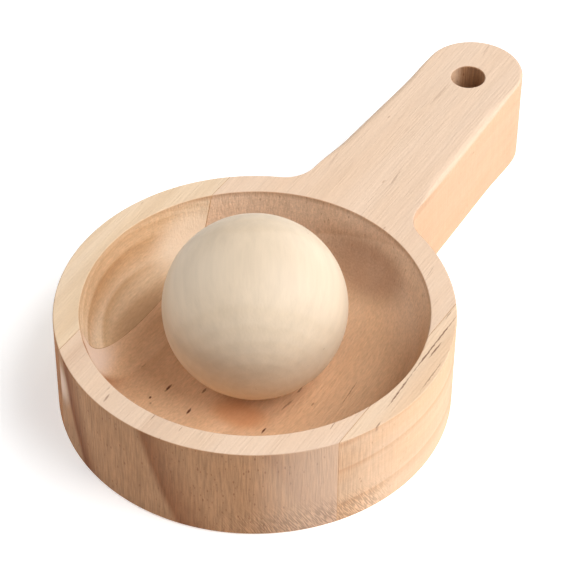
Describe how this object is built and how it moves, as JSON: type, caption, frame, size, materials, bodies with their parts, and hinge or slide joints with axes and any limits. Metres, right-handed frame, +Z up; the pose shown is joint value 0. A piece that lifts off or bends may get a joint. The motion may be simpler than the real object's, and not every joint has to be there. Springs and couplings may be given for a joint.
{
  "type": "ball balancing paddle",
  "caption": "Round shallow wooden dish with a straight handle and a hanging hole, cut from an edge-glued panel, with a loose wooden ball that rolls on its curved floor.",
  "frame": {"origin": "the dish's centre on the flat underside that rests on a table", "axes": "+Y along the handle from the dish's centre to the hanging hole, +Z up out of the dish, +X to the right seen from above with the handle pointing away"},
  "size_m": [0.108, 0.189, 0.0553],
  "materials": {
    "yellow_pine": "bare sanded pine, yellowish, with broad brown growth bands",
    "pink_pine": "bare sanded pine, pinkish, with short dark resin lines; saw-marked on the outer wall",
    "peach_pine": "bare sanded pine, peach, with long dark resin lines",
    "cream_wood": "bare turned and polished wood, pale cream, fine faint grain"
  },
  "bodies": {
    "paddle": {"left_board": "yellow_pine", "centre_board": "pink_pine", "right_board": "peach_pine"},
    "ball": {"ball": "cream_wood"}
  },
  "joints": [
    {"name": "ball_roll", "type": "hinge", "parent": "paddle", "child": "ball", "pos_m": [0, 0, 0.121], "axis": [0, -1, 0], "range_deg": [-13.7, 13.7]}
  ]
}
